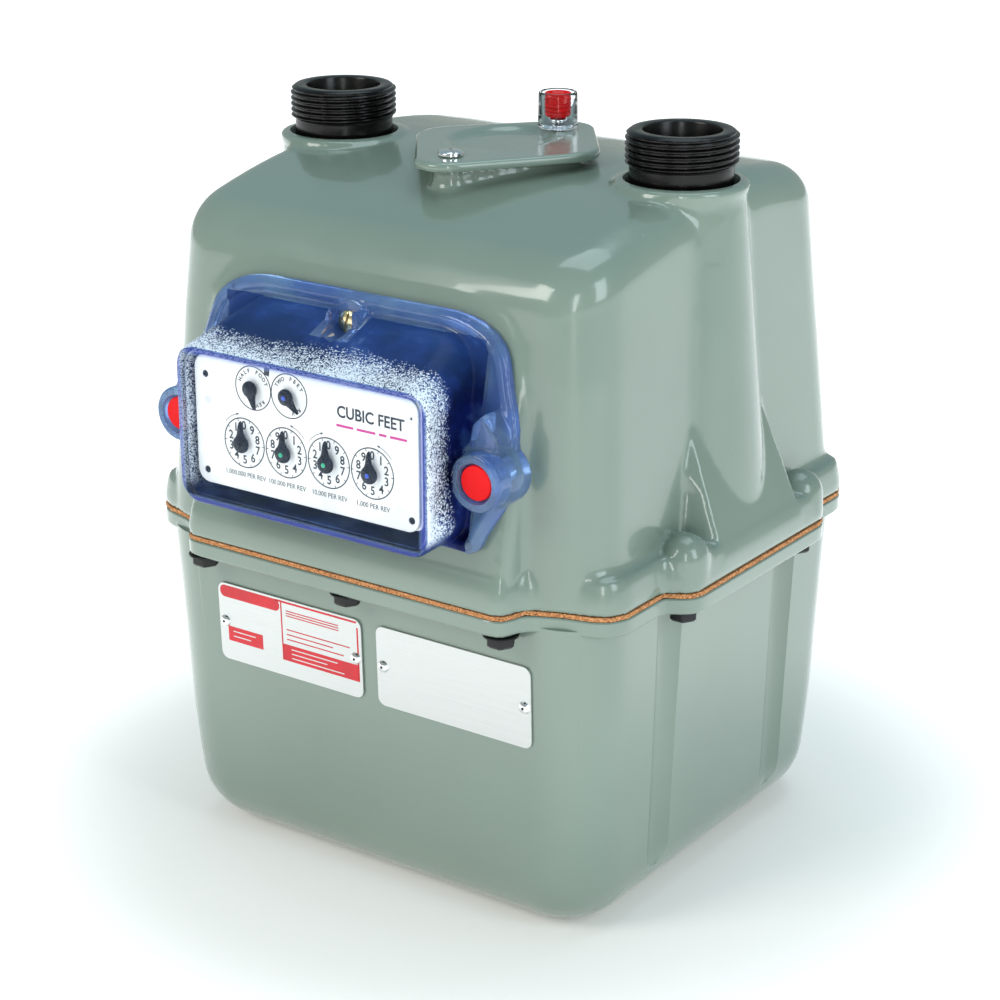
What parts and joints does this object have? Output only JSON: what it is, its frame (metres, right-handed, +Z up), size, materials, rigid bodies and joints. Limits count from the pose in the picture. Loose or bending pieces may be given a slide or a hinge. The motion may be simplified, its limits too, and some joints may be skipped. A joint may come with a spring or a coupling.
{
  "type": "gas meter",
  "caption": "Diaphragm gas meter: two bolted cast shells, twin threaded top nipples, a clear index box with turning dials, and the diaphragms, crank and valve inside.",
  "frame": {"origin": "middle of the flat base", "axes": "+Z up, the index faces -Y, the inlet nipple at -X and the outlet nipple at +X"},
  "size_m": [0.2306, 0.229, 0.2839],
  "materials": {
    "case_paint": "glossy grey-green enamel",
    "cork": "speckled pressed cork",
    "black_bolt": "black oxide",
    "black_nipple": "black painted iron",
    "bright_screw": "bright plated",
    "clear_cup": "clear moulding",
    "red_plastic": "glossy red",
    "blue_window": "blue tinted clear moulding",
    "brass_screw": "polished",
    "steel": "machined",
    "plate_aluminium": "brushed",
    "dial_white": "satin white",
    "frame_aluminium": "satin",
    "hand_black": "glossy black",
    "brass": "satin",
    "grey_resin": "moulded",
    "dark_resin": "lapped",
    "sheet_steel": "plated sheet",
    "diaphragm_fabric": "coated cloth"
  },
  "bodies": {
    "case": {"access_cover": "case_paint", "axle_bushing": "brass", "bridge_bracket": "steel", "case_gasket": "cork", "cover_screw": "bright_screw", "dial_plate": "dial_white", "diaphragm_frame": "grey_resin", "flange_bolt_01": "black_bolt", "flange_bolt_02": "black_bolt", "flange_bolt_03": "black_bolt", "flange_bolt_04": "black_bolt", "flange_bolt_05": "black_bolt", "flange_bolt_06": "black_bolt", "flange_bolt_07": "black_bolt", "flange_bolt_08": "black_bolt", "flange_bolt_09": "black_bolt", "flange_bolt_10": "black_bolt", "front_diaphragm": "diaphragm_fabric", "index_cover": "blue_window", "index_frame": "frame_aluminium", "index_plug_left": "red_plastic", "index_plug_right": "red_plastic", "index_side_screw_left": "steel", "index_side_screw_right": "steel", "index_top_screw": "brass_screw", "inlet_nipple": "black_nipple", "lower_case": "case_paint", "nameplate_left": "plate_aluminium", "nameplate_right": "plate_aluminium", "outlet_nipple": "black_nipple", "rear_diaphragm": "diaphragm_fabric", "seal_cup": "clear_cup", "seal_plug": "red_plastic", "seal_screw": "bright_screw", "upper_case": "case_paint", "valve_seat": "dark_resin", "valve_table": "sheet_steel"},
    "two_feet": {"output_axle": "steel", "arbor_two_feet": "brass", "hand_two_feet": "hand_black"},
    "crank": {"crankshaft": "steel", "rotary_valve": "grey_resin"},
    "half_foot": {"arbor_half_foot": "brass", "hand_half_foot": "hand_black"},
    "ten": {"arbor_ten": "brass"},
    "hundred": {"arbor_hundred": "brass"},
    "one_thousand": {"arbor_one_thousand": "brass", "hand_one_thousand": "hand_black"},
    "ten_thousand": {"arbor_ten_thousand": "brass", "hand_ten_thousand": "hand_black"},
    "hundred_thousand": {"arbor_hundred_thousand": "brass", "hand_hundred_thousand": "hand_black"},
    "million": {"arbor_million": "brass", "hand_million": "hand_black"},
    "front_flag": {"front_flag_rod": "steel"},
    "front_pan": {"front_pan": "sheet_steel"},
    "front_link": {"front_link": "steel"},
    "rear_flag": {"rear_flag_rod": "steel"},
    "rear_pan": {"rear_pan": "sheet_steel"},
    "rear_link": {"rear_link": "steel"}
  },
  "joints": [
    {"name": "crank_spin", "type": "hinge", "parent": "case", "child": "crank", "pos_m": [0, 0, 0.1991], "axis": [0, 0, 1], "continuous": true},
    {"name": "million_spin", "type": "hinge", "parent": "case", "child": "million", "pos_m": [-0.0293, -0.1169, 0.1781], "axis": [0, 1, 0], "continuous": true},
    {"name": "hundred_thousand_spin", "type": "hinge", "parent": "case", "child": "hundred_thousand", "pos_m": [-0.01027, -0.1169, 0.1781], "axis": [0, 1, 0], "continuous": true},
    {"name": "ten_thousand_spin", "type": "hinge", "parent": "case", "child": "ten_thousand", "pos_m": [0.00876, -0.1169, 0.1781], "axis": [0, 1, 0], "continuous": true},
    {"name": "one_thousand_spin", "type": "hinge", "parent": "case", "child": "one_thousand", "pos_m": [0.02779, -0.1169, 0.1781], "axis": [0, 1, 0], "continuous": true},
    {"name": "half_foot_spin", "type": "hinge", "parent": "case", "child": "half_foot", "pos_m": [-0.0244, -0.1169, 0.1991], "axis": [0, 1, 0], "continuous": true},
    {"name": "two_feet_spin", "type": "hinge", "parent": "case", "child": "two_feet", "pos_m": [-0.0082, -0.1169, 0.1991], "axis": [0, 1, 0], "continuous": true},
    {"name": "hundred_spin", "type": "hinge", "parent": "case", "child": "hundred", "pos_m": [0.02779, -0.1169, 0.19559], "axis": [0, 1, 0], "continuous": true},
    {"name": "ten_spin", "type": "hinge", "parent": "case", "child": "ten", "pos_m": [0.01033, -0.1169, 0.19455], "axis": [0, 1, 0], "continuous": true},
    {"name": "front_flag_swing", "type": "hinge", "parent": "case", "child": "front_flag", "pos_m": [-0.078, -0.04, 0.1], "axis": [0, 0, 1], "range_deg": [-13, 13]},
    {"name": "front_pan_travel", "type": "slide", "parent": "case", "child": "front_pan", "axis": [0, 1, 0], "range_m": [-0.0165, 0.0165]},
    {"name": "front_link_pivot", "type": "hinge", "parent": "front_flag", "child": "front_link", "pos_m": [-0.033, -0.04, 0.155], "axis": [0, 0, 1], "range_deg": [-14, 14]},
    {"name": "rear_flag_swing", "type": "hinge", "parent": "case", "child": "rear_flag", "pos_m": [0.078, 0.04, 0.1], "axis": [0, 0, 1], "range_deg": [-13, 13]},
    {"name": "rear_pan_travel", "type": "slide", "parent": "case", "child": "rear_pan", "axis": [0, -1, 0], "range_m": [-0.0165, 0.0165]},
    {"name": "rear_link_pivot", "type": "hinge", "parent": "rear_flag", "child": "rear_link", "pos_m": [0.033, 0.04, 0.155], "axis": [0, 0, 1], "range_deg": [-14, 14]}
  ],
  "couplings": [
    {"joint": "million_spin", "follows": "crank_spin", "ratio": 0.000000071429},
    {"joint": "hundred_thousand_spin", "follows": "crank_spin", "ratio": -0.00000071429},
    {"joint": "ten_thousand_spin", "follows": "crank_spin", "ratio": 0.0000071429},
    {"joint": "one_thousand_spin", "follows": "crank_spin", "ratio": -0.000071429},
    {"joint": "half_foot_spin", "follows": "crank_spin", "ratio": -0.14286},
    {"joint": "two_feet_spin", "follows": "crank_spin", "ratio": 0.035714},
    {"joint": "hundred_spin", "follows": "crank_spin", "ratio": 0.00071429},
    {"joint": "ten_spin", "follows": "crank_spin", "ratio": -0.0071429},
    {"joint": "front_pan_travel", "follows": "front_flag_swing", "m_per_rad": 0.07},
    {"joint": "front_link_pivot", "follows": "front_flag_swing", "ratio": -1},
    {"joint": "rear_pan_travel", "follows": "rear_flag_swing", "m_per_rad": 0.07},
    {"joint": "rear_link_pivot", "follows": "rear_flag_swing", "ratio": -1}
  ]
}
